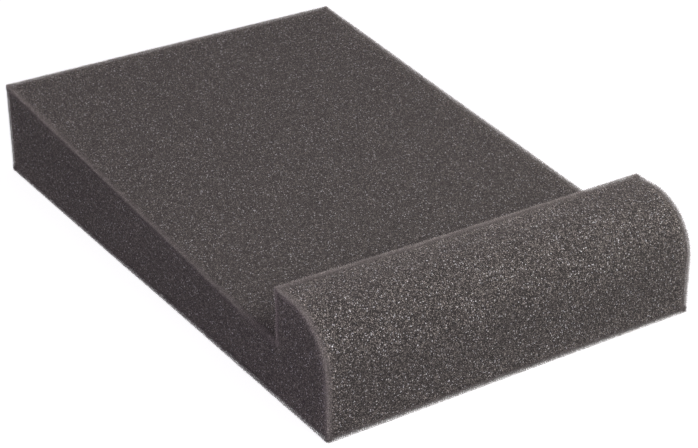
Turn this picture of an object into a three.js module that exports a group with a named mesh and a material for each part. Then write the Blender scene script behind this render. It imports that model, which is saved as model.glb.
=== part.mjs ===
// A foam isolation pad that stands under a small loudspeaker, tilts it forward and keeps it from sliding off.
// It is one block of open-cell foam, cut to one side profile along its whole width.
// Millimetres, +Z up. The origin is on the underside, at the middle of the pad's width and depth.
// The speaker's front is towards -Y, where the stop stands, and the thick end is towards +Y.

import * as THREE from 'three';

// Size of the block
const PAD_WIDTH = 190;
const PAD_DEPTH = 298;

// Sloped seat: it rises from the foot of the stop to the back face
const SEAT_HEIGHT_AT_STOP = 26.5;
const SEAT_HEIGHT_AT_BACK = 47;

// Stop: the raised lip along the front, which the speaker leans against
const STOP_HEIGHT = 53.5;
const STOP_THICKNESS = 38.5;
const NOSE_RADIUS = 26;
const STOP_FOOT_RADIUS = 1.5;

// Finish: charcoal foam
const FOAM_COLOR = 0x57524f;
const FOAM_ROUGHNESS = 0.96;
const FOAM_METALNESS = 0;

// Fineness of the rounds: each quarter round takes twice this many straight steps
const ROUND_FINENESS = 12;

// Places that follow from the sizes
const FRONT_Y = -PAD_DEPTH / 2;
const BACK_Y = PAD_DEPTH / 2;
const STOP_WALL_Y = FRONT_Y + STOP_THICKNESS;
const SEAT_ANGLE = Math.atan2(SEAT_HEIGHT_AT_BACK - SEAT_HEIGHT_AT_STOP, BACK_Y - STOP_WALL_Y);

// Side profile of the pad, with the shape's x along the depth and its y upwards
function padProfile() {
  // the small round at the foot touches the stop's wall and the seat
  const footRoundY = STOP_WALL_Y + STOP_FOOT_RADIUS;
  const footRoundZ =
    SEAT_HEIGHT_AT_STOP + STOP_FOOT_RADIUS * Math.tan(SEAT_ANGLE) + STOP_FOOT_RADIUS / Math.cos(SEAT_ANGLE);

  const profile = new THREE.Shape();
  profile.moveTo(FRONT_Y, 0);
  profile.lineTo(BACK_Y, 0);
  profile.lineTo(BACK_Y, SEAT_HEIGHT_AT_BACK);
  profile.absarc(footRoundY, footRoundZ, STOP_FOOT_RADIUS, SEAT_ANGLE - Math.PI / 2, -Math.PI, true);
  profile.lineTo(STOP_WALL_Y, STOP_HEIGHT);
  profile.absarc(FRONT_Y + NOSE_RADIUS, STOP_HEIGHT - NOSE_RADIUS, NOSE_RADIUS, Math.PI / 2, Math.PI, false);
  profile.closePath();
  return profile;
}

// The pad: its profile carried straight across the width
function foamPad() {
  const geometry = new THREE.ExtrudeGeometry(padProfile(), {
    depth: PAD_WIDTH,
    bevelEnabled: false,
    curveSegments: ROUND_FINENESS,
  });
  const material = new THREE.MeshStandardMaterial({
    color: FOAM_COLOR,
    roughness: FOAM_ROUGHNESS,
    metalness: FOAM_METALNESS,
  });
  const pad = new THREE.Mesh(geometry, material);
  pad.name = 'foam_pad';
  // turn the shape's x, y and the extrusion into the pad's depth, height and width
  pad.rotation.set(Math.PI / 2, Math.PI / 2, 0);
  pad.position.x = -PAD_WIDTH / 2;
  return pad;
}

const isolationPad = new THREE.Group();
isolationPad.name = 'speaker_isolation_pad';
isolationPad.add(foamPad());

export default isolationPad;
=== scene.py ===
"""A foam isolation pad for a small loudspeaker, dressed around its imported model.

Metres, +Z up. The origin is on the underside, at the middle of the pad. The stop is towards -Y
and the thick end towards +Y.
"""

import logging
import math
from dataclasses import dataclass, field
from enum import Enum

import bpy
import numpy as np
from mathutils import Matrix, Vector
from mathutils.geometry import delaunay_2d_cdt
from mathutils.noise import noise


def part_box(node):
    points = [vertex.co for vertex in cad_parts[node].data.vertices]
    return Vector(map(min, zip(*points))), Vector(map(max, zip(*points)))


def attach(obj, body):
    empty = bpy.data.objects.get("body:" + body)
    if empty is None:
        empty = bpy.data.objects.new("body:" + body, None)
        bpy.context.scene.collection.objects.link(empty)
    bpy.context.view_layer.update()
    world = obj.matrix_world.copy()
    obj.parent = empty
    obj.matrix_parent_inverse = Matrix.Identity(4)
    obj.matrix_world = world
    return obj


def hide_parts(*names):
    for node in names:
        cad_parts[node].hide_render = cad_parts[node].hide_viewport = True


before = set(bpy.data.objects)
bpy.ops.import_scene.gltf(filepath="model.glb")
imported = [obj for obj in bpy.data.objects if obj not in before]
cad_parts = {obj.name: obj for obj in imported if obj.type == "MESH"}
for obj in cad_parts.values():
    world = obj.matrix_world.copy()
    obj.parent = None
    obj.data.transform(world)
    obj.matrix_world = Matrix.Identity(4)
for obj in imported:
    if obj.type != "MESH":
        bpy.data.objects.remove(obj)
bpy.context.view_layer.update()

LOG = logging.getLogger("isolation_pad")
MM = 0.001
PAD_NODE = "foam_pad"
PAD_BODY = "root"
WHITE = (1.0, 1.0, 1.0, 1.0)
BAKE_MAP = "OFBake"
SHEET = 512.0 * MM


class Trait(Enum):
    """What the foam's skin carries from place to place, by the name that its finish reads."""

    ARRIS_GAP = "arris_gap"
    PAINTED_GLOW_SPREAD = "painted_glow_spread"
    SPECKLE_AND_GLINT = "speckle_and_glint"
    PAINTED_STOP_LIGHT = "painted_stop_light"

    def paint(self, mesh: bpy.types.Mesh, values: np.ndarray) -> None:
        """Stores one value for each of a mesh's points."""
        mesh.attributes.new(self.value, "FLOAT", "POINT").data.foreach_set("value", values)


class End(Enum):
    """The two ends of the pad's width, by the sign of their X."""

    LEFT = -1
    RIGHT = 1


class Patch(Enum):
    """Where each part of the block's skin lies on the flat sheet of its map, in metres."""

    UNDERSIDE = (0.0, 0.0)
    BACK = (0.304, 0.0)
    SEAT = (0.0, 0.196)
    STOP = (0.357, 0.0)
    LEFT_END = (0.0, 0.392)
    RIGHT_END = (0.0, 0.452)


@dataclass(frozen=True)
class Chain:
    """A stretch of the side profile between two cut corners, with its rounds sampled as short steps.

    Attributes:
        places: depth (Y) and height (Z) of each sample, in metres, as (n, 2).
        outward: unit direction out of the foam at each sample, as (n, 2).
    """

    places: np.ndarray
    outward: np.ndarray

    @property
    def run(self) -> np.ndarray:
        """Length along the chain at each sample, in metres."""
        steps = np.linalg.norm(np.diff(self.places, axis=0), axis=1)
        return np.concatenate(([0.0], np.cumsum(steps)))


@dataclass(frozen=True)
class SideProfile:
    """The pad's side profile: flat underside, upright back, sloped seat, stop with a quarter-round nose.

    Attributes:
        depth: size along Y.
        stop_height: height of the stop's flat top.
        seat_at_stop: height of the seat at the stop's foot.
        seat_at_back: height of the seat at the back face.
        stop_thickness: size of the stop along Y.
        nose_radius: radius of the stop's outer top round.
        foot_radius: radius of the small round between the seat and the stop.
        step: distance between samples.
        foot_steps: steps in the foot's round.
    """

    depth: float
    stop_height: float
    seat_at_stop: float = 26.5 * MM
    seat_at_back: float = 47.0 * MM
    stop_thickness: float = 38.5 * MM
    nose_radius: float = 26.0 * MM
    foot_radius: float = 1.5 * MM
    step: float = 1.5 * MM
    foot_steps: int = 3

    def straight(self, start: tuple[float, float], end: tuple[float, float]) -> tuple[np.ndarray, np.ndarray]:
        """Samples a straight side.

        Args:
            start: depth and height of the first sample.
            end: depth and height of the last sample.

        Returns:
            The places and outward directions. The foam lies on the left of the way from start to end.
        """
        a, b = np.array(start), np.array(end)
        length = np.linalg.norm(b - a)
        share = np.linspace(0.0, 1.0, max(1, round(length / self.step)) + 1)[:, None]
        along = (b - a) / length
        outward = np.array([along[1], -along[0]])
        return a + (b - a) * share, np.tile(outward, (len(share), 1))

    def round(
        self, centre: tuple[float, float], radius: float, start: float, end: float, steps: int
    ) -> tuple[np.ndarray, np.ndarray]:
        """Samples a round side.

        Args:
            centre: depth and height of the round's centre.
            radius: radius of the round.
            start: angle of the first sample, in radians from +Y towards +Z.
            end: angle of the last sample.
            steps: number of steps between them.

        Returns:
            The places and outward directions. A round that turns clockwise is hollow.
        """
        angle = np.linspace(start, end, steps + 1)
        ray = np.stack([np.cos(angle), np.sin(angle)], axis=1)
        sense = 1.0 if end > start else -1.0
        return np.array(centre) + radius * ray, sense * ray

    def chains(self) -> list[Chain]:
        """Samples the whole profile.

        Returns:
            Four chains in order: underside, back, seat with the stop's inner wall, and stop's top with
            its nose and front. Each starts where the one before ends.
        """
        front, back = -self.depth / 2, self.depth / 2
        wall = front + self.stop_thickness
        tilt = math.atan2(self.seat_at_back - self.seat_at_stop, back - wall)
        foot = (
            wall + self.foot_radius,
            self.seat_at_stop + self.foot_radius * (math.tan(tilt) + 1 / math.cos(tilt)),
        )
        seat_end = (foot[0] + self.foot_radius * math.sin(tilt), foot[1] - self.foot_radius * math.cos(tilt))
        nose = (front + self.nose_radius, self.stop_height - self.nose_radius)
        nose_steps = round(self.nose_radius * math.pi / 2 / self.step)
        quarter = math.pi / 2
        groups = [
            [self.straight((front, 0.0), (back, 0.0))],
            [self.straight((back, 0.0), (back, self.seat_at_back))],
            [
                self.straight((back, self.seat_at_back), seat_end),
                self.round(foot, self.foot_radius, tilt - quarter, -math.pi, self.foot_steps),
                self.straight((wall, foot[1]), (wall, self.stop_height)),
            ],
            [
                self.straight((wall, self.stop_height), (nose[0], self.stop_height)),
                self.round(nose, self.nose_radius, quarter, math.pi, nose_steps),
                self.straight((front, nose[1]), (front, 0.0)),
            ],
        ]
        return [self.joined(group) for group in groups]

    @staticmethod
    def joined(parts: list[tuple[np.ndarray, np.ndarray]]) -> Chain:
        """Joins sides that meet smoothly into one chain.

        Args:
            parts: places and outward directions of each side, in order.

        Returns:
            The chain, with each shared sample once.
        """
        places = [parts[0][0]] + [p[0][1:] for p in parts[1:]]
        outward = [parts[0][1]] + [p[1][1:] for p in parts[1:]]
        return Chain(np.concatenate(places), np.concatenate(outward))


@dataclass(frozen=True)
class Relief:
    """How far the cut foam strays from its true form, at three scales.

    Attributes:
        swell: how far the loose skin of every face but the underside stands out.
        flare: how much farther the stop's right end stands out.
        bow: most that a face bows out of true, over bow_span.
        bow_span: length of one bow.
        ripple: height of the saw's ripple, over ripple_span.
        ripple_span: length of one ripple.
        grain: height of the coarse cell grain, over grain_span.
        grain_span: length of the grain.
        stop_drop: how much lower the stop's top is at the right end than at the left.
    """

    swell: float = 0.2 * MM
    flare: float = 0.5 * MM
    bow: float = 0.35 * MM
    bow_span: float = 110.0 * MM
    ripple: float = 0.06 * MM
    ripple_span: float = 9.0 * MM
    grain: float = 0.10 * MM
    grain_span: float = 1.9 * MM
    stop_drop: float = 0.7 * MM

    def height(self, place: Vector, fine: bool) -> float:
        """How far a face stands proud.

        Args:
            place: place on the true face.
            fine: whether the saw's ripple and the grain count too.

        Returns:
            The height, in metres.
        """
        height = self.swell + self.bow * noise(place / self.bow_span)
        if fine:
            height += self.ripple * noise(place / self.ripple_span)
            height += self.grain * noise(place / self.grain_span)
        return height

    def settled(
        self, profile: SideProfile, width: float, places: np.ndarray, ways: np.ndarray, fine: bool
    ) -> np.ndarray:
        """Moves places from the true form to where the foam really lies.

        Args:
            profile: the side profile.
            width: size of the pad along X.
            places: places on the true form, as (n, 3).
            ways: sum of the outward directions of the faces that meet at each, as (n, 3).
            fine: whether the saw's ripple and the grain count too.

        Returns:
            The moved places, none of them under the underside.
        """
        heights = np.array([self.height(Vector(place), fine) for place in places])[:, None]
        moved = places + ways * heights
        stop = places[:, 1] < profile.stop_thickness - profile.depth / 2 + MM
        share_right = np.clip(places[:, 0] / width + 0.5, 0.0, 1.0)
        share_up = np.clip(places[:, 2] / profile.stop_height, 0.0, 1.0)
        moved[:, 2] -= self.stop_drop * share_right * share_up * stop
        moved[:, 0] += self.flare * (places[:, 0] > width / 2 - MM) * stop
        moved[:, 2] = np.clip(moved[:, 2], 0.0, None)
        return moved


# Painted light: sets how strong and wide the painted glow along each arris is.
@dataclass(frozen=True)
class PaintedGlowSpread:
    """How strong and wide the painted glow along the cut arrises is, from place to place, with 1 as the
    least.

    Attributes:
        profile: the side profile.
        width: size of the pad along X.
        far: how much stronger and wider the painted glow is at the right end and at the back.
        stop: how much more on the stop.
        low: height over the underside up to which the painted glow on the stop is weaker there.
    """

    profile: SideProfile
    width: float
    far: float = 1.0
    stop: float = 1.0
    low: float = 5.0 * MM

    def at(self, places: np.ndarray) -> np.ndarray:
        """Works out the spread of the painted glow.

        Args:
            places: places on or near the foam's skin, as (n, 3).

        Returns:
            The spread of the painted glow at each.
        """
        x, y, z = places.T
        right = np.clip(x / self.width + 0.5, 0.0, 1.0)
        back = np.clip(y / self.profile.depth + 0.5, 0.0, 1.0)
        wall = self.profile.stop_thickness - self.profile.depth / 2
        lift = np.clip(z / self.low, 0.0, 1.0)
        return 1.0 + np.where(y < wall + MM, self.stop * lift, self.far * np.maximum(right, back) ** 4)


@dataclass
class FoamBlock:
    """The block of foam with its arrises cut back, to which the open struts of the edges are rooted.

    Attributes:
        profile: the side profile.
        width: size along X.
        cut: how far from an arris the block starts to fall away.
        relief: how far the faces stray from true.
        seat_speckle_and_glint: how strong the seat's cell grain and painted glints are where it faces up,
            with the stop's at 1.
        end_speckle_and_glint: the same for the two end faces.
        stop_top_painted_light: how much paler the stop's top and round are painted where they face up, as
            painted light.
        seed: start of the random draws.
        name: name of the piece.
    """

    profile: SideProfile
    width: float
    cut: float = 2.3 * MM
    relief: Relief = field(default_factory=Relief)
    seat_speckle_and_glint: float = 0.78
    end_speckle_and_glint: float = 0.8
    # Painted light: the stop's upward-facing top and round are painted paler.
    stop_top_painted_light: float = 0.25
    seed: int = 5
    name: str = "foam_block"

    def __post_init__(self) -> None:
        """Samples the ring, works out the painted glow's spread and starts the random draws."""
        self.random = np.random.default_rng(self.seed)
        self.painted_glow_spread = PaintedGlowSpread(self.profile, self.width)
        self.chains = self.profile.chains()
        self.ring, self.ring_outward, self.ring_fall, self.ring_gap = self.ring_of_chains()

    def ring_of_chains(self) -> tuple[np.ndarray, np.ndarray, np.ndarray, np.ndarray]:
        """Joins the chains into one closed ring and works out how it falls away at its corners.

        Returns:
            Places, outward directions and fall of each ring sample, each as (n, 2), and its distance
            to the nearest corner. The fall is the way that the cut-back arris moves the sample.
        """
        places, outward, fall, gap = [], [], [], []
        for k, chain in enumerate(self.chains):
            before = self.chains[k - 1].outward[-1]
            after = self.chains[(k + 1) % len(self.chains)].outward[0]
            run = chain.run
            near_start = np.clip(self.cut - run, 0.0, None)[:, None] / 2
            near_end = np.clip(self.cut - (run[-1] - run), 0.0, None)[:, None] / 2
            falls = -(chain.outward[0] + before) * near_start - (chain.outward[-1] + after) * near_end
            ways = chain.outward.copy()
            ways[0] = chain.outward[0] + before
            places.append(chain.places[:-1])
            outward.append(ways[:-1])
            fall.append(falls[:-1])
            gap.append(np.minimum(run, run[-1] - run)[:-1])
        return tuple(np.concatenate(part) for part in (places, outward, fall, gap))

    def columns(self) -> np.ndarray:
        """Places of the rings along X, a little uneven, with the two ends true."""
        count = round(self.width / self.profile.step)
        across = np.linspace(-self.width / 2, self.width / 2, count + 1)
        across[1:-1] += self.random.uniform(-0.15, 0.15, count - 1) * self.profile.step
        return across

    def end_face(self) -> tuple[np.ndarray, np.ndarray, list[list[int]]]:
        """Triangulates the profile for the two end faces.

        Returns:
            The inner points as (n, 2), their fall as (n, 2), and triangles of indices, in which the
            ring's samples come first and the inner points after them.
        """
        step = self.profile.step
        low, high = self.ring.min(0), self.ring.max(0)
        grid = np.mgrid[low[0] + step : high[0] : step, low[1] + step : high[1] : step].reshape(2, -1).T
        grid = grid + self.random.uniform(-0.3, 0.3, grid.shape) * step
        away, nearest = self.distance_to_ring(grid)
        inner = grid[self.inside(grid) & (away > 0.55 * step)]
        away, nearest = self.distance_to_ring(inner)
        falls = -self.ring_outward[nearest] * (np.clip(self.cut - away, 0.0, None) / 2)[:, None]
        count = len(self.ring)
        edges = [(i, (i + 1) % count) for i in range(count)]
        points = [Vector(p) for p in np.concatenate([self.ring, inner]) / step]
        made = delaunay_2d_cdt(points, edges, [], 1, 1e-7)
        source = [origins[0] for origins in made[3]]
        triangles = [[source[i] for i in face] for face in made[2]]
        return inner, falls, triangles

    def distance_to_ring(self, points: np.ndarray) -> tuple[np.ndarray, np.ndarray]:
        """Distance of points to the ring.

        Args:
            points: depth and height of each point, as (n, 2).

        Returns:
            The distance to the ring's nearest sample, and which sample that is.
        """
        gaps = np.linalg.norm(points[:, None, :] - self.ring[None, :, :], axis=2)
        nearest = gaps.argmin(1)
        return gaps[np.arange(len(points)), nearest], nearest

    def inside(self, points: np.ndarray) -> np.ndarray:
        """Which points lie inside the profile, by counting crossings of the ring.

        Args:
            points: depth and height of each point, as (n, 2).

        Returns:
            True for each point inside.
        """
        start, end = self.ring, np.roll(self.ring, -1, axis=0)
        y, z = points[:, :1], points[:, 1:]
        spans = (start[:, 1] > z) != (end[:, 1] > z)
        rise = np.where(end[:, 1] == start[:, 1], 1.0, end[:, 1] - start[:, 1])
        crossing = start[:, 0] + (z - start[:, 1]) * (end[:, 0] - start[:, 0]) / rise
        return (spans & (y < crossing)).sum(1) % 2 == 1

    def build(self) -> bpy.types.Object:
        """Makes the block as one closed mesh.

        Returns:
            The block's object, in place.
        """
        across = self.columns()
        count, rings = len(self.ring), len(across)
        half = self.width / 2
        near_end = np.clip(self.cut - (half - np.abs(across)), 0.0, None) / 2
        side = np.sign(across)

        places = np.zeros((rings, count, 3))
        places[:, :, 0] = (across - side * near_end)[:, None]
        places[:, :, 1:] = (
            self.ring + self.ring_fall - self.ring_outward * near_end[:, None, None]
        )
        ways = np.zeros_like(places)
        ways[:, :, 1:] = self.ring_outward
        ways[[0, -1], :, 0] = [[End.LEFT.value], [End.RIGHT.value]]
        gaps = np.minimum(self.ring_gap, (half - np.abs(across))[:, None])

        inner, falls, triangles = self.end_face()
        vertices, normals, arris_gaps = [places.reshape(-1, 3)], [ways.reshape(-1, 3)], [gaps.ravel()]
        faces, sheet = [], []
        starts, ends = self.ring_on_sheet()
        for ring in range(rings - 1):
            low, high = (0.0, across[ring] + half), (0.0, across[ring + 1] + half)
            for i in range(count):
                j = (i + 1) % count
                here, there = ring * count, (ring + 1) * count
                faces.append((here + i, here + j, there + j, there + i))
                sheet += [starts[i] + low, ends[i] + low, ends[i] + high, starts[i] + high]
        flat = np.concatenate([self.ring, inner]) + np.array([self.profile.depth / 2, 0.0])
        for end, ring, patch in (
            (End.LEFT, 0, Patch.LEFT_END),
            (End.RIGHT, rings - 1, Patch.RIGHT_END),
        ):
            first = sum(len(v) for v in vertices)
            depth_in = np.linalg.norm(falls, axis=1)
            cap = np.column_stack([end.value * (half - depth_in), inner + falls])
            vertices.append(cap)
            normals.append(np.tile([float(end.value), 0.0, 0.0], (len(inner), 1)))
            arris_gaps.append(self.distance_to_ring(inner)[0])
            for face in triangles:
                turned = face[::-1] if end is End.LEFT else face
                faces.append([ring * count + i if i < count else first + i - count for i in turned])
                sheet += [flat[i] + patch.value for i in turned]
        places, ways = np.concatenate(vertices), np.concatenate(normals)
        settled = self.relief.settled(self.profile, self.width, places, ways, fine=True)
        mesh = bpy.data.meshes.new(self.name)
        mesh.from_pydata(settled.tolist(), [], faces)
        mesh.uv_layers.new(name=BAKE_MAP).data.foreach_set("uv", (np.array(sheet) / SHEET).ravel())
        self.paint(mesh, places, ways, np.concatenate(arris_gaps))
        mesh.validate()
        mesh.shade_smooth()
        block = bpy.data.objects.new(self.name, mesh)
        bpy.context.collection.objects.link(block)
        return block

    def paint(self, mesh: bpy.types.Mesh, places: np.ndarray, ways: np.ndarray, gaps: np.ndarray) -> None:
        """Stores what the skin carries from place to place.

        Args:
            mesh: the block's mesh.
            places: places of its points on the cut-back form, as (n, 3).
            ways: sum of the outward directions of the faces that meet at each, as (n, 3).
            gaps: distance of each from the nearest arris.
        """
        seat = places[:, 1] > self.profile.stop_thickness - self.profile.depth / 2 + MM
        up = np.clip(ways[:, 2], 0.0, 1.0)
        # Painted light: fewer and dimmer painted glints, and weaker grain, on the seat where it faces up.
        speckle_and_glint = np.where(seat, 1.0 - (1.0 - self.seat_speckle_and_glint) * up, 1.0)
        speckle_and_glint = np.where(ways[:, 0] == 0.0, speckle_and_glint, self.end_speckle_and_glint)
        Trait.ARRIS_GAP.paint(mesh, gaps)
        # Painted light: the spread of the painted glow along the arrises.
        Trait.PAINTED_GLOW_SPREAD.paint(mesh, self.painted_glow_spread.at(places))
        Trait.SPECKLE_AND_GLINT.paint(mesh, speckle_and_glint)
        # Painted light: paler paint on the stop where it faces up.
        Trait.PAINTED_STOP_LIGHT.paint(mesh, self.stop_top_painted_light * up * ~seat)

    def ring_on_sheet(self) -> tuple[np.ndarray, np.ndarray]:
        """Places of the ring's steps on the flat sheet of the map.

        Returns:
            Where each step starts and where it ends, as (n, 2), in metres.
        """
        starts, ends = [], []
        for chain, patch in zip(self.chains, (Patch.UNDERSIDE, Patch.BACK, Patch.SEAT, Patch.STOP)):
            flat = np.column_stack([chain.run, np.zeros(len(chain.run))]) + patch.value
            starts.append(flat[:-1])
            ends.append(flat[1:])
        return np.concatenate(starts), np.concatenate(ends)


@dataclass(frozen=True)
class Arris:
    """A cut edge between two faces, along which the foam's open cells show.

    Attributes:
        places: places along the edge, as (n, 3).
        first_in: direction into the foam, square to the first face, at each place, as (n, 3).
        second_in: the same for the second face.
        over: how far the loose struts stand out beyond the faces.
    """

    places: np.ndarray
    first_in: np.ndarray
    second_in: np.ndarray
    over: float

    @property
    def run(self) -> np.ndarray:
        """Length along the edge at each place, in metres."""
        steps = np.linalg.norm(np.diff(self.places, axis=0), axis=1)
        return np.concatenate(([0.0], np.cumsum(steps)))

    def placed(self, along: np.ndarray, first: np.ndarray, second: np.ndarray) -> np.ndarray:
        """Turns places in the band along the edge into places in the pad.

        Args:
            along: length along the edge.
            first: depth below the first face.
            second: depth below the second face.

        Returns:
            The places, as (n, 3).
        """
        run = self.run
        spread = [
            np.stack([np.interp(along, run, values[:, axis]) for axis in range(3)], axis=-1)
            for values in (self.places, self.first_in, self.second_in)
        ]
        return spread[0] + spread[1] * first[..., None] + spread[2] * second[..., None]


@dataclass
class EdgeStruts:
    """The open cells along cut edges: thin struts in the pattern of packed foam cells.

    Attributes:
        name: name of the piece.
        edges: the cut edges that it covers.
        painted_glow_spread: how strong and wide the painted glow along the edges is.
        seed: start of the random draws.
        cell: size of two packed cells.
        reach: how deep the open cells reach in from the corner, by the sum of the depths.
        root: how far the struts run on into the block.
        thickness: mean width of a strut.
        stray: how far a joint between struts strays, as a share of the cell.
        turn: angle of the cells about the edge.
        speckle_and_glint: how strong the struts' grain and painted glints are.
    """

    name: str
    edges: list[Arris]
    painted_glow_spread: PaintedGlowSpread
    seed: int
    cell: float = 1.15 * MM
    reach: float = 2.3 * MM
    root: float = 0.15 * MM
    thickness: float = 0.14 * MM
    stray: float = 0.11
    turn: float = math.radians(27)
    speckle_and_glint: float = 0.3

    def joints(self, edge: Arris, random: np.random.Generator) -> tuple[np.ndarray, np.ndarray]:
        """Packs cells along a band and lists their joints and struts.

        Args:
            edge: the cut edge.
            random: the random draws.

        Returns:
            Places of the joints as (n, 3), along the band and across it, and pairs of joints as (m, 2).
        """
        quarter = self.cell / 4
        band = self.reach + 2 * edge.over
        half = math.ceil(band * 1.3 / quarter)
        shape = (math.ceil(edge.run[-1] / quarter) + 8, 2 * half, 2 * half)
        grid = np.stack(np.indices(shape), axis=-1)
        odd = grid % 2 == 1
        is_joint = (odd.sum(-1) == 1) & ((grid % 4 * ~odd).sum(-1) == 2)
        number = np.full(shape, -1)
        number[is_joint] = np.arange(is_joint.sum())
        places = grid[is_joint] * quarter
        middle = half * quarter - band / 2 + edge.over
        places = places - np.array([4 * quarter, middle, middle])
        places = places + random.normal(0.0, self.stray * self.cell, places.shape)
        cosine, sine = math.cos(self.turn), math.sin(self.turn)
        across = places[:, 1:] @ np.array([[cosine, sine], [-sine, cosine]])
        places = np.column_stack([places[:, 0], across])

        pairs = []
        for offset in ((1, 1, 0), (1, -1, 0), (1, 0, 1), (1, 0, -1), (0, 1, 1), (0, 1, -1)):
            here = tuple(slice(max(0, -o), shape[a] - max(0, o)) for a, o in enumerate(offset))
            there = tuple(slice(max(0, o), shape[a] - max(0, -o)) for a, o in enumerate(offset))
            both = (number[here] >= 0) & (number[there] >= 0)
            pairs.append(np.stack([number[here][both], number[there][both]], axis=-1))
        return places, np.concatenate(pairs)

    def cut_struts(self, edge: Arris, random: np.random.Generator) -> np.ndarray:
        """Struts of one edge, cut off where they meet the pad's faces.

        Args:
            edge: the cut edge.
            random: the random draws.

        Returns:
            The two ends of each strut in the band, as (n, 2, 3).
        """
        places, pairs = self.joints(edge, random)
        struts = places[pairs]
        limits = ((1, 1, -edge.over), (2, 1, -edge.over), (0, 1, 0.0), (0, -1, -edge.run[-1]))
        for axis, sign, limit in limits:
            over = sign * struts[:, :, axis] - limit
            struts = struts[(over > 0).any(1)]
            over = over[(over > 0).any(1)]
            for end in (0, 1):
                out = over[:, end] < 0
                share = over[out, end] / (over[out, end] - over[out, 1 - end])
                struts[out, end] += (struts[out, 1 - end] - struts[out, end]) * share[:, None]
        deep = struts[:, :, 1] + struts[:, :, 2] > self.reach + self.root
        return struts[~deep.all(1)]

    def ribs(self, struts: np.ndarray, random: np.random.Generator) -> np.ndarray:
        """Corners of a three-edged rib along each strut.

        Args:
            struts: the two ends of each strut in the pad, as (n, 2, 3).
            random: the random draws.

        Returns:
            Corners as (n, 6, 3), three round each end.
        """
        way = struts[:, 1] - struts[:, 0]
        way = way / np.linalg.norm(way, axis=1, keepdims=True)
        helper = np.where(np.abs(way[:, :1]) < 0.8, [[1.0, 0.0, 0.0]], [[0.0, 1.0, 0.0]])
        first = np.cross(way, helper)
        first = first / np.linalg.norm(first, axis=1, keepdims=True)
        second = np.cross(way, first)
        radius = self.thickness / 2 * random.uniform(0.75, 1.35, len(struts))
        start = random.uniform(0.0, math.tau, len(struts))
        corners = []
        for end in (0, 1):
            for turn in range(3):
                angle = start + turn * math.tau / 3
                ray = first * np.cos(angle)[:, None] + second * np.sin(angle)[:, None]
                corners.append(struts[:, end] + ray * radius[:, None])
        return np.stack(corners, axis=1)

    @staticmethod
    def sheet(count: int) -> np.ndarray:
        """Places the struts' sides in even squares on the flat sheet of the map.

        Args:
            count: number of struts.

        Returns:
            Place of each corner of each side, as (count * 8, 2), from 0 to 1.
        """
        row = math.ceil(math.sqrt(count))
        number = np.arange(count)
        square = np.stack([number % row, number // row], axis=1)[:, None, None, :]
        side = np.array([[(k, 0), (k + 1, 0), (k + 1, 2), (k, 2)] for k in range(2)]) / 2
        return ((square + 0.15 + 0.7 * side) / row).reshape(-1, 2)

    def build(self) -> bpy.types.Object:
        """Makes the struts of all the edges as one piece.

        Returns:
            The struts' object, in place.
        """
        random = np.random.default_rng(self.seed)
        shortest = self.thickness / 2
        corners, gaps, painted_glow_spreads = [], [], []
        for edge in self.edges:
            band = self.cut_struts(edge, random)
            struts = edge.placed(band[:, :, 0], band[:, :, 1], band[:, :, 2])
            above = (struts[:, :, 2] > 0.0).any(1)
            kept = above & (np.linalg.norm(struts[:, 1] - struts[:, 0], axis=1) > shortest)
            corners.append(self.ribs(struts[kept], random))
            depth_in = np.clip(band[kept, :, 1] + band[kept, :, 2], 0.0, None)
            gaps.append(np.repeat(depth_in.ravel(), 3))
            # Painted light: the spread of the painted glow at each strut's ends.
            painted_glow_spreads.append(np.repeat(self.painted_glow_spread.at(struts[kept].reshape(-1, 3)), 3))
        points = np.concatenate(corners).reshape(-1, 3)
        points[:, 2] = np.clip(points[:, 2], 0.0, None)
        first = np.arange(0, len(points), 6)[:, None, None]
        sides = np.array([(0, 1, 4, 3), (1, 2, 5, 4)])
        mesh = bpy.data.meshes.new(self.name)
        mesh.from_pydata(points.tolist(), [], (first + sides).reshape(-1, 4).tolist())
        mesh.uv_layers.new(name=BAKE_MAP).data.foreach_set("uv", self.sheet(len(first)).ravel())
        Trait.ARRIS_GAP.paint(mesh, np.concatenate(gaps))
        Trait.PAINTED_GLOW_SPREAD.paint(mesh, np.concatenate(painted_glow_spreads))
        Trait.SPECKLE_AND_GLINT.paint(mesh, np.full(len(points), self.speckle_and_glint))
        piece = bpy.data.objects.new(self.name, mesh)
        bpy.context.collection.objects.link(piece)
        return piece


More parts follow.
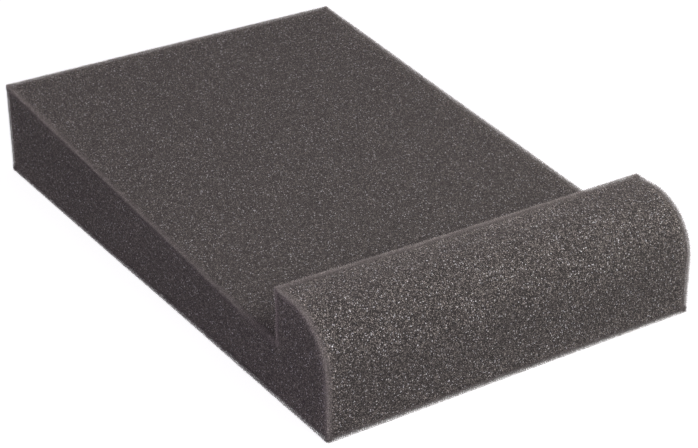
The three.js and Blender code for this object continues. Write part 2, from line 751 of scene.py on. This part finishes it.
@dataclass
class PadEdges:
    """The cut edges of the pad, where its foam really lies.

    Attributes:
        foam: the block of foam.
        over: how far the loose struts stand out beyond the faces.
        low_over: the same at the underside and on the stop.
    """

    foam: FoamBlock
    over: float = 0.3 * MM
    low_over: float = 0.5 * MM

    def at_end(self, end: End) -> list[Arris]:
        """Edges round the profile at one end of the width, one for each chain."""
        width = self.foam.width
        edges = []
        for chain, over in zip(self.foam.chains, (self.low_over, self.over, self.over, self.over)):
            places = np.insert(chain.places, 0, end.value * width / 2, axis=1)
            first_in = np.insert(-chain.outward, 0, 0.0, axis=1)
            second_in = np.tile([-float(end.value), 0.0, 0.0], (len(places), 1))
            edges.append(self.settled(places, first_in, second_in, over))
        return edges

    def across(self) -> list[Arris]:
        """Edges that run straight across the width, one at each corner of the profile."""
        half = self.foam.width / 2
        reach = np.linspace(-half - self.over, half + self.over, 40)
        edges = []
        for k, (chain, over) in enumerate(
            zip(self.foam.chains, (self.low_over, self.low_over, self.over, self.low_over))
        ):
            before = self.foam.chains[k - 1]
            places = np.column_stack([reach, np.tile(chain.places[0], (len(reach), 1))])
            first_in = np.tile(np.insert(-before.outward[-1], 0, 0.0), (len(reach), 1))
            second_in = np.tile(np.insert(-chain.outward[0], 0, 0.0), (len(reach), 1))
            edges.append(self.settled(places, first_in, second_in, over))
        return edges

    def settled(
        self, places: np.ndarray, first_in: np.ndarray, second_in: np.ndarray, over: float
    ) -> Arris:
        """Makes an edge where the block's faces really meet.

        Args:
            places: places along the true edge, as (n, 3).
            first_in: direction into the foam, square to the first face, at each.
            second_in: the same for the second face.
            over: how far the loose struts stand out.

        Returns:
            The edge.
        """
        foam, ways = self.foam, -first_in - second_in
        moved = foam.relief.settled(foam.profile, foam.width, places, ways, fine=False)
        return Arris(moved, first_in, second_in, over)


class Effect:
    """A shader node group, with short ways to add and join its nodes."""

    def __init__(self, name: str) -> None:
        """Starts an empty group.

        Args:
            name: name of the group.
        """
        self.tree = bpy.data.node_groups.new(name, "ShaderNodeTree")
        self.inlet = self.tree.nodes.new("NodeGroupInput")
        self.outlet = self.tree.nodes.new("NodeGroupOutput")

    def socket(self, name: str, kind: str, way: str, default: object = None) -> None:
        """Adds a named input or output.

        Args:
            name: name of the socket.
            kind: type of the socket.
            way: INPUT or OUTPUT.
            default: value of an input that nothing is joined to.
        """
        made = self.tree.interface.new_socket(name=name, in_out=way, socket_type=kind)
        if default is not None:
            made.default_value = default

    def node(self, kind: str, **settings: object) -> bpy.types.Node:
        """Adds a node and sets its properties."""
        made = self.tree.nodes.new(kind)
        for name, value in settings.items():
            setattr(made, name, value)
        return made

    def join(self, out: bpy.types.NodeSocket, into: bpy.types.NodeSocket) -> None:
        """Joins an output to an input."""
        self.tree.links.new(out, into)

    def maths(self, operation: str, *values: object) -> bpy.types.NodeSocket:
        """Adds a maths node.

        Args:
            operation: what it does.
            values: sockets or numbers, in the node's order.

        Returns:
            Its output.
        """
        made = self.node("ShaderNodeMath", operation=operation)
        for value, into in zip(values, made.inputs):
            if isinstance(value, bpy.types.NodeSocket):
                self.join(value, into)
            else:
                into.default_value = value
        return made.outputs[0]

    def ramp(
        self, value: bpy.types.NodeSocket, low: float, high: float, start: float, end: float
    ) -> bpy.types.NodeSocket:
        """Adds a smooth ramp.

        Args:
            value: what it reads.
            low: value at which it starts.
            high: value at which it ends.
            start: result at low.
            end: result at high.

        Returns:
            Its output.
        """
        made = self.node("ShaderNodeMapRange", interpolation_type="SMOOTHSTEP")
        self.join(value, made.inputs["Value"])
        for name, number in (("From Min", low), ("From Max", high), ("To Min", start), ("To Max", end)):
            made.inputs[name].default_value = number
        return made.outputs["Result"]


def cut_cells_effect() -> bpy.types.NodeTree:
    """The look of foam cut straight through its cells: struts, pores of uneven depth with painted shade, and
    painted glints.

    Returns:
        A group with the cells' fineness, the struts' width, the share of painted glints and the amount of
        speckle and painted glint as inputs. Its outputs are Pore, from 0 on a strut to 1 in a deep pore,
        whose dark is painted shade, Painted Glint, a mask of cells painted near white where bits of cell
        window would catch the light, Grain, a factor near 1 from cell to cell with painted shade in some
        pits, and Height for a bump.
    """
    shallowest_pore = 0.1
    glint_and_pit_scale, painted_glint_gain = 0.77, 1.4
    grain_power, grain_gain, grain_floor = 6.0, 6.2, 0.2
    pit_share, pit_floor = 0.25, 0.3
    effect = Effect("Cut cells")
    effect.socket("Cells per Metre", "NodeSocketFloat", "INPUT", 3600.0)
    effect.socket("Strut Width", "NodeSocketFloat", "INPUT", 0.14)
    effect.socket("Painted Glint Share", "NodeSocketFloat", "INPUT", 0.05)
    effect.socket("Speckle and Glint Amount", "NodeSocketFloat", "INPUT", 1.0)
    for name in ("Pore", "Painted Glint", "Grain", "Height"):
        effect.socket(name, "NodeSocketFloat", "OUTPUT")

    place = effect.node("ShaderNodeTexCoord").outputs["Object"]
    walls = effect.node("ShaderNodeTexVoronoi", feature="DISTANCE_TO_EDGE")
    cells = effect.node("ShaderNodeTexVoronoi", feature="F1")
    glint_and_pit_cells = effect.node("ShaderNodeTexVoronoi", feature="F1")
    for voronoi in (walls, cells, glint_and_pit_cells):
        effect.join(place, voronoi.inputs["Vector"])
    for voronoi in (walls, cells):
        effect.join(effect.inlet.outputs["Cells per Metre"], voronoi.inputs["Scale"])
    wider = effect.maths("MULTIPLY", effect.inlet.outputs["Cells per Metre"], glint_and_pit_scale)
    effect.join(wider, glint_and_pit_cells.inputs["Scale"])
    split = effect.node("ShaderNodeSeparateColor")
    effect.join(cells.outputs["Color"], split.inputs["Color"])
    draw = effect.node("ShaderNodeSeparateColor")
    effect.join(glint_and_pit_cells.outputs["Color"], draw.inputs["Color"])

    opening = effect.node("ShaderNodeMapRange", interpolation_type="SMOOTHSTEP")
    effect.join(walls.outputs["Distance"], opening.inputs["Value"])
    effect.join(effect.inlet.outputs["Strut Width"], opening.inputs["From Max"])
    # Each pore's depth sets both its bump and how dark its painted shade is.
    depth = effect.ramp(split.outputs["Red"], 0.0, 1.0, shallowest_pore, 1.0)
    pore = effect.maths("MULTIPLY", opening.outputs["Result"], depth)

    # Painted glint: a few cells painted near white where bits of cell window would catch the light.
    spare = effect.maths("SUBTRACT", draw.outputs["Green"], 1.0)
    twice = effect.maths("MULTIPLY", effect.inlet.outputs["Painted Glint Share"], 2.0)
    painted_glint = effect.maths("ADD", effect.maths("DIVIDE", spare, twice), 1.0)
    painted_glint = effect.maths("MAXIMUM", painted_glint, 0.0)
    painted_glint = effect.maths("MINIMUM", effect.maths("MULTIPLY", painted_glint, painted_glint_gain), 1.0)
    # The painted glints are scaled with the speckle amount, so they are dimmer on the seat and the ends.
    painted_glint = effect.maths("MULTIPLY", painted_glint, effect.inlet.outputs["Speckle and Glint Amount"])
    dull = effect.maths("SUBTRACT", 1.0, painted_glint)
    open_pore = effect.maths("MULTIPLY", pore, dull)
    grain = effect.maths("POWER", split.outputs["Blue"], grain_power)
    grain = effect.maths("ADD", effect.maths("MULTIPLY", grain, grain_gain), grain_floor)
    # Painted shade: a quarter of these cells are darkened as deeper pits.
    pit = effect.ramp(draw.outputs["Red"], 0.0, pit_share, pit_floor, 1.0)
    grain = effect.maths("SUBTRACT", effect.maths("MULTIPLY", grain, pit), 1.0)
    grain = effect.maths("MULTIPLY", grain, effect.inlet.outputs["Speckle and Glint Amount"])
    grain = effect.maths("ADD", grain, 1.0)
    for value, name in ((open_pore, "Pore"), (painted_glint, "Painted Glint"), (grain, "Grain")):
        effect.join(value, effect.outlet.inputs[name])
    effect.join(effect.maths("SUBTRACT", 1.0, open_pore), effect.outlet.inputs["Height"])
    return effect.tree


def shade_effect() -> bpy.types.NodeTree:
    """Slow changes of shade through the foam.

    Returns:
        A group with Amount as input and Shade as output, a factor near 1.
    """
    effect = Effect("Foam shade")
    effect.socket("Amount", "NodeSocketFloat", "INPUT", 0.06)
    effect.socket("Shade", "NodeSocketFloat", "OUTPUT")
    cloud = effect.node("ShaderNodeTexNoise")
    cloud.inputs["Scale"].default_value = 60.0
    cloud.inputs["Detail"].default_value = 3.0
    effect.join(effect.node("ShaderNodeTexCoord").outputs["Object"], cloud.inputs["Vector"])
    swing = effect.maths("SUBTRACT", cloud.outputs["Fac"], 0.5)
    swing = effect.maths("MULTIPLY", swing, effect.inlet.outputs["Amount"])
    effect.join(effect.maths("ADD", swing, 1.0), effect.outlet.inputs["Shade"])
    return effect.tree


def arris_glow_effect() -> bpy.types.NodeTree:
    """The painted glow along an arris: foam painted paler where light comes through from both sides.

    Returns:
        A group with Gap, the distance to the arris, PaintedGlowSpread, which widens and strengthens the
        painted glow, Reach, Strength and Painted Light, painted paleness added at any distance, as
        inputs. Its output is Glow, a factor of 1 or more.
    """
    effect = Effect("Arris glow")
    effect.socket("Gap", "NodeSocketFloat", "INPUT", 1.0)
    effect.socket("PaintedGlowSpread", "NodeSocketFloat", "INPUT", 1.0)
    effect.socket("Reach", "NodeSocketFloat", "INPUT", 1.6 * MM)
    effect.socket("Strength", "NodeSocketFloat", "INPUT", 0.5)
    effect.socket("Painted Light", "NodeSocketFloat", "INPUT", 0.0)
    effect.socket("Glow", "NodeSocketFloat", "OUTPUT")
    painted_glow_spread = effect.inlet.outputs["PaintedGlowSpread"]
    reach = effect.maths("MULTIPLY", effect.inlet.outputs["Reach"], painted_glow_spread)
    share = effect.maths("DIVIDE", effect.inlet.outputs["Gap"], reach)
    fade = effect.maths("POWER", math.exp(-1.0), share)
    strength = effect.maths("MULTIPLY", effect.inlet.outputs["Strength"], painted_glow_spread)
    glow = effect.maths("MULTIPLY", fade, strength)
    glow = effect.maths("ADD", glow, effect.inlet.outputs["Painted Light"])
    effect.join(effect.maths("ADD", glow, 1.0), effect.outlet.inputs["Glow"])
    return effect.tree


@dataclass(frozen=True)
class FoamFinish:
    """Charcoal foam, seen on a cut face or on a single strut.

    Attributes:
        name: name of the material.
        strut: colour of a strut.
        pore: colour deep in a pore, painted shade.
        painted_glint: painted highlight, the near-white of a bit of cell window that catches the light.
        painted_glint_share: share of the cells that carry a painted glint.
        roughness: roughness of the surface.
        bump: depth of the pores' bump, in metres.
        shade: how much the foam's shade changes over it.
        fuzz: strength of the pale fuzz of strut ends, seen at a slant.
        fuzz_tint: colour of that fuzz.
        glow: how much paler the foam is painted along an arris, as painted light coming through its thin
            edge.
        glow_reach: how far in from there it is paler.
    """

    name: str
    strut: tuple[float, float, float]
    pore: tuple[float, float, float]
    painted_glint: tuple[float, float, float]
    painted_glint_share: float = 0.05
    roughness: float = 0.92
    bump: float = 0.25 * MM
    shade: float = 0.10
    fuzz: float = 0.0
    fuzz_tint: tuple[float, float, float] = (1.0, 0.88, 0.84)
    glow: float = 0.0
    glow_reach: float = 1.4 * MM

    def material(
        self, cells: bpy.types.NodeTree, shade: bpy.types.NodeTree, arris: bpy.types.NodeTree
    ) -> bpy.types.Material:
        """Makes the material.

        Args:
            cells: the cut cells' group.
            shade: the slow shade's group.
            arris: the arris glow's group.

        Returns:
            The material.
        """
        made = bpy.data.materials.new(self.name)
        made.use_nodes = True
        nodes, links = made.node_tree.nodes, made.node_tree.links
        surface = nodes["Principled BSDF"]
        surface.inputs["Roughness"].default_value = self.roughness
        surface.inputs["Specular IOR Level"].default_value = 0.25
        surface.inputs["Sheen Weight"].default_value = self.fuzz
        surface.inputs["Sheen Roughness"].default_value = 0.6
        surface.inputs["Sheen Tint"].default_value = (*self.fuzz_tint, 1.0)

        face = nodes.new("ShaderNodeGroup")
        face.node_tree = cells
        face.inputs["Painted Glint Share"].default_value = self.painted_glint_share
        slow = nodes.new("ShaderNodeGroup")
        slow.node_tree = shade
        slow.inputs["Amount"].default_value = self.shade

        edge = nodes.new("ShaderNodeGroup")
        edge.node_tree = arris
        edge.inputs["Strength"].default_value = self.glow
        edge.inputs["Reach"].default_value = self.glow_reach
        for trait, into in (
            (Trait.ARRIS_GAP, edge.inputs["Gap"]),
            (Trait.PAINTED_GLOW_SPREAD, edge.inputs["PaintedGlowSpread"]),
            (Trait.PAINTED_STOP_LIGHT, edge.inputs["Painted Light"]),
            (Trait.SPECKLE_AND_GLINT, face.inputs["Speckle and Glint Amount"]),
        ):
            carried = nodes.new("ShaderNodeAttribute")
            carried.attribute_name = trait.value
            links.new(carried.outputs["Fac"], into)

        # The dark of the pores is painted shade.
        colour = self.mix(made, face.outputs["Pore"], self.strut, self.pore)
        # The glow factor is painted light: paler paint along the arrises and on the stop's upward faces.
        for factor in (face.outputs["Grain"], slow.outputs["Shade"], edge.outputs["Glow"]):
            scaled = nodes.new("ShaderNodeVectorMath")
            scaled.operation = "SCALE"
            links.new(colour, scaled.inputs[0])
            links.new(factor, scaled.inputs["Scale"])
            colour = scaled.outputs["Vector"]
        # Mixes the painted glints, near-white specks, into the base colour.
        colour = self.mix(made, face.outputs["Painted Glint"], colour, self.painted_glint)
        links.new(colour, surface.inputs["Base Color"])

        bump = nodes.new("ShaderNodeBump")
        bump.inputs["Distance"].default_value = self.bump
        links.new(face.outputs["Height"], bump.inputs["Height"])
        links.new(bump.outputs["Normal"], surface.inputs["Normal"])
        return made

    @staticmethod
    def mix(
        made: bpy.types.Material, share: bpy.types.NodeSocket, first: object, second: tuple
    ) -> bpy.types.NodeSocket:
        """Mixes two colours by a mask.

        Args:
            made: the material.
            share: the mask.
            first: colour or socket where the mask is 0.
            second: colour where the mask is 1.

        Returns:
            The mixed colour's socket.
        """
        node = made.node_tree.nodes.new("ShaderNodeMix")
        node.data_type = "RGBA"
        factor, a, b = node.inputs[0], node.inputs[6], node.inputs[7]
        made.node_tree.links.new(share, factor)
        if isinstance(first, bpy.types.NodeSocket):
            made.node_tree.links.new(first, a)
        else:
            a.default_value = (*first, 1.0)
        b.default_value = (*second, 1.0)
        return node.outputs[2]


@dataclass(frozen=True)
class SoftLamp:
    """A wide, soft lamp that points at the pad.

    Attributes:
        name: name of the lamp.
        place: where it stands.
        size: its width.
        power: its power, in watts.
        tint: its colour.
    """

    name: str
    place: tuple[float, float, float]
    size: float
    power: float
    tint: tuple[float, float, float] = (1.0, 1.0, 1.0)

    def build(self) -> None:
        """Adds the lamp."""
        light = bpy.data.lights.new(self.name, "AREA")
        light.size = self.size
        light.energy = self.power
        light.color = self.tint
        lamp = bpy.data.objects.new(self.name, light)
        lamp.location = self.place
        lamp.rotation_euler = (-Vector(self.place)).to_track_quat("-Z", "Y").to_euler()
        bpy.context.collection.objects.link(lamp)


@dataclass(frozen=True)
class Studio:
    """White studio: floor, soft lamps, even sky and the camera.

    Attributes:
        floor_size: width of the floor.
        floor_grey: how much light the floor sends back to the pad.
        floor_seen: how much of the light that falls on the floor the camera sees.
        floor_glow: light that the camera sees on the floor beside that.
        sky: light of the sky on the pad.
        sky_tint: its colour.
        lamps: the soft lamps.
        camera_place: where the camera stands.
        camera_turn: angle of the view about Z, from +Y, in degrees.
        camera_dip: angle of the view below the horizon, in degrees.
        camera_roll: roll of the camera, in degrees.
        lens: focal length for the 36 mm wide sensor, in millimetres.
    """

    floor_size: float = 12.0
    floor_grey: float = 0.34
    floor_seen: float = 0.3
    floor_glow: float = 0.90
    sky: float = 0.46
    sky_tint: tuple[float, float, float] = (1.03, 0.93, 1.06)
    lamps: tuple[SoftLamp, ...] = (
        SoftLamp("key lamp", (0.14, -0.505, 0.436), size=0.35, power=2.3),
        SoftLamp("fill lamp", (-0.5, -0.45, 0.2), size=0.4, power=0.36, tint=(1.0, 0.78, 1.35)),
    )
    camera_place: tuple[float, float, float] = (-0.4634, -0.7299, 0.4655)
    camera_turn: float = -33.11
    camera_dip: float = 27.97
    camera_roll: float = -0.18
    lens: float = 105.3

    def build(self) -> None:
        """Sets up the floor, the sky, the lamps, the camera and the view transform."""
        self.add_floor()
        self.add_sky()
        for lamp in self.lamps:
            lamp.build()
        self.add_camera()
        bpy.context.scene.view_settings.view_transform = "Standard"

    def add_floor(self) -> None:
        """A white floor that keeps the pad's shadow."""
        half = self.floor_size / 2
        mesh = bpy.data.meshes.new("floor")
        corners = [(-half, -half, 0.0), (half, -half, 0.0), (half, half, 0.0), (-half, half, 0.0)]
        mesh.from_pydata(corners, [], [(0, 1, 2, 3)])
        floor = bpy.data.objects.new("floor", mesh)
        bpy.context.collection.objects.link(floor)
        material = bpy.data.materials.new("white floor")
        material.use_nodes = True
        nodes, links = material.node_tree.nodes, material.node_tree.links
        nodes.clear()
        grey = nodes.new("ShaderNodeBsdfDiffuse")
        grey.inputs["Color"].default_value = (self.floor_grey,) * 3 + (1.0,)
        lit = nodes.new("ShaderNodeBsdfDiffuse")
        lit.inputs["Color"].default_value = (self.floor_seen,) * 3 + (1.0,)
        glow = nodes.new("ShaderNodeEmission")
        glow.inputs["Strength"].default_value = self.floor_glow
        both = nodes.new("ShaderNodeAddShader")
        links.new(lit.outputs[0], both.inputs[0])
        links.new(glow.outputs[0], both.inputs[1])
        pick = nodes.new("ShaderNodeMixShader")
        links.new(self.seen(material.node_tree), pick.inputs["Fac"])
        links.new(grey.outputs[0], pick.inputs[1])
        links.new(both.outputs[0], pick.inputs[2])
        links.new(pick.outputs[0], nodes.new("ShaderNodeOutputMaterial").inputs["Surface"])
        floor.data.materials.append(material)

    def add_sky(self) -> None:
        """An even sky that lights the pad and looks white."""
        world = bpy.data.worlds.new("white studio")
        bpy.context.scene.world = world
        world.use_nodes = True
        nodes, links = world.node_tree.nodes, world.node_tree.links
        lights = nodes["Background"]
        lights.inputs["Color"].default_value = (*self.sky_tint, 1.0)
        lights.inputs["Strength"].default_value = self.sky
        shows = nodes.new("ShaderNodeBackground")
        shows.inputs["Color"].default_value = WHITE
        pick = nodes.new("ShaderNodeMixShader")
        links.new(self.seen(world.node_tree), pick.inputs["Fac"])
        links.new(lights.outputs[0], pick.inputs[1])
        links.new(shows.outputs[0], pick.inputs[2])
        links.new(pick.outputs[0], nodes["World Output"].inputs["Surface"])

    @staticmethod
    def seen(tree: bpy.types.NodeTree) -> bpy.types.NodeSocket:
        """A mask of the rays that show the surroundings: from the camera, a gloss or through glass.

        Args:
            tree: the node tree to add it to.

        Returns:
            The mask's socket.
        """
        path = tree.nodes.new("ShaderNodeLightPath")
        mask = path.outputs["Is Camera Ray"]
        for name in ("Is Glossy Ray", "Is Transmission Ray"):
            either = tree.nodes.new("ShaderNodeMath")
            either.operation = "MAXIMUM"
            tree.links.new(mask, either.inputs[0])
            tree.links.new(path.outputs[name], either.inputs[1])
            mask = either.outputs[0]
        return mask

    def add_camera(self) -> None:
        """The camera, at the angle of the photograph."""
        camera = bpy.data.objects.new("camera", bpy.data.cameras.new("camera"))
        camera.data.sensor_width = 36.0
        camera.data.lens = self.lens
        camera.data.clip_start, camera.data.clip_end = 0.05, 50.0
        turn = Matrix.Rotation(math.radians(self.camera_turn), 4, "Z")
        dip = Matrix.Rotation(math.radians(90.0 - self.camera_dip), 4, "X")
        roll = Matrix.Rotation(math.radians(self.camera_roll), 4, "Z")
        camera.matrix_world = Matrix.Translation(self.camera_place) @ turn @ dip @ roll
        bpy.context.collection.objects.link(camera)
        bpy.context.scene.camera = camera


@dataclass
class IsolationPad:
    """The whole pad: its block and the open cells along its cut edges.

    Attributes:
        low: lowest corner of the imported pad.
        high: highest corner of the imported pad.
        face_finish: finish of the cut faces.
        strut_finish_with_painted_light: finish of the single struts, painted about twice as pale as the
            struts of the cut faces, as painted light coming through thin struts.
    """

    low: Vector
    high: Vector
    face_finish: FoamFinish = FoamFinish(
        name="cut foam",
        strut=(0.119, 0.109, 0.093),
        # Painted shade: near black deep in the pores.
        pore=(0.006, 0.005, 0.005),
        # Painted highlight: near-white painted glints on a share of the cells.
        painted_glint=(0.95, 0.96, 0.95),
        painted_glint_share=0.014,
        fuzz=0.13,
        glow=0.8,
    )
    # Painted light: the single struts are painted about twice as pale as the struts of the cut faces.
    strut_finish_with_painted_light: FoamFinish = FoamFinish(
        name="foam strut with painted light",
        strut=(0.24, 0.222, 0.20),
        pore=(0.18, 0.166, 0.15),
        # Painted highlight: pale painted glints on the struts.
        painted_glint=(0.60, 0.57, 0.53),
        bump=0.02 * MM,
        glow=0.5,
        glow_reach=1.2 * MM,
    )

    def build(self) -> None:
        """Builds and dresses every piece."""
        width = self.high.x - self.low.x
        profile = SideProfile(depth=self.high.y - self.low.y, stop_height=self.high.z - self.low.z)
        foam = FoamBlock(profile, width)
        edges = PadEdges(foam)
        block = foam.build()
        left, right, across = edges.at_end(End.LEFT), edges.at_end(End.RIGHT), edges.across()
        groups = {
            "left_low_struts": left[:2],
            "left_high_struts": left[2:],
            "right_low_struts": right[:2],
            "right_high_struts": right[2:],
            "back_edge_struts": across[1:3],
            "stop_edge_struts": across[::3],
        }
        struts = [
            EdgeStruts(name, group, foam.painted_glow_spread, seed).build()
            for seed, (name, group) in enumerate(groups.items(), 11)
        ]
        effects = (cut_cells_effect(), shade_effect(), arris_glow_effect())
        block.data.materials.append(self.face_finish.material(*effects))
        strut_material_with_painted_light = self.strut_finish_with_painted_light.material(*effects)
        for piece in struts:
            piece.data.materials.append(strut_material_with_painted_light)
        for piece in (block, *struts):
            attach(piece, PAD_BODY)
            LOG.info("%s: %d faces", piece.name, len(piece.data.polygons))
        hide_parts(PAD_NODE)


def main() -> None:
    """Builds the studio and the pad."""
    logging.basicConfig(level=logging.INFO, format="%(name)s: %(message)s")
    Studio().build()
    IsolationPad(*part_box(PAD_NODE)).build()


if __name__ == "__main__":
    main()
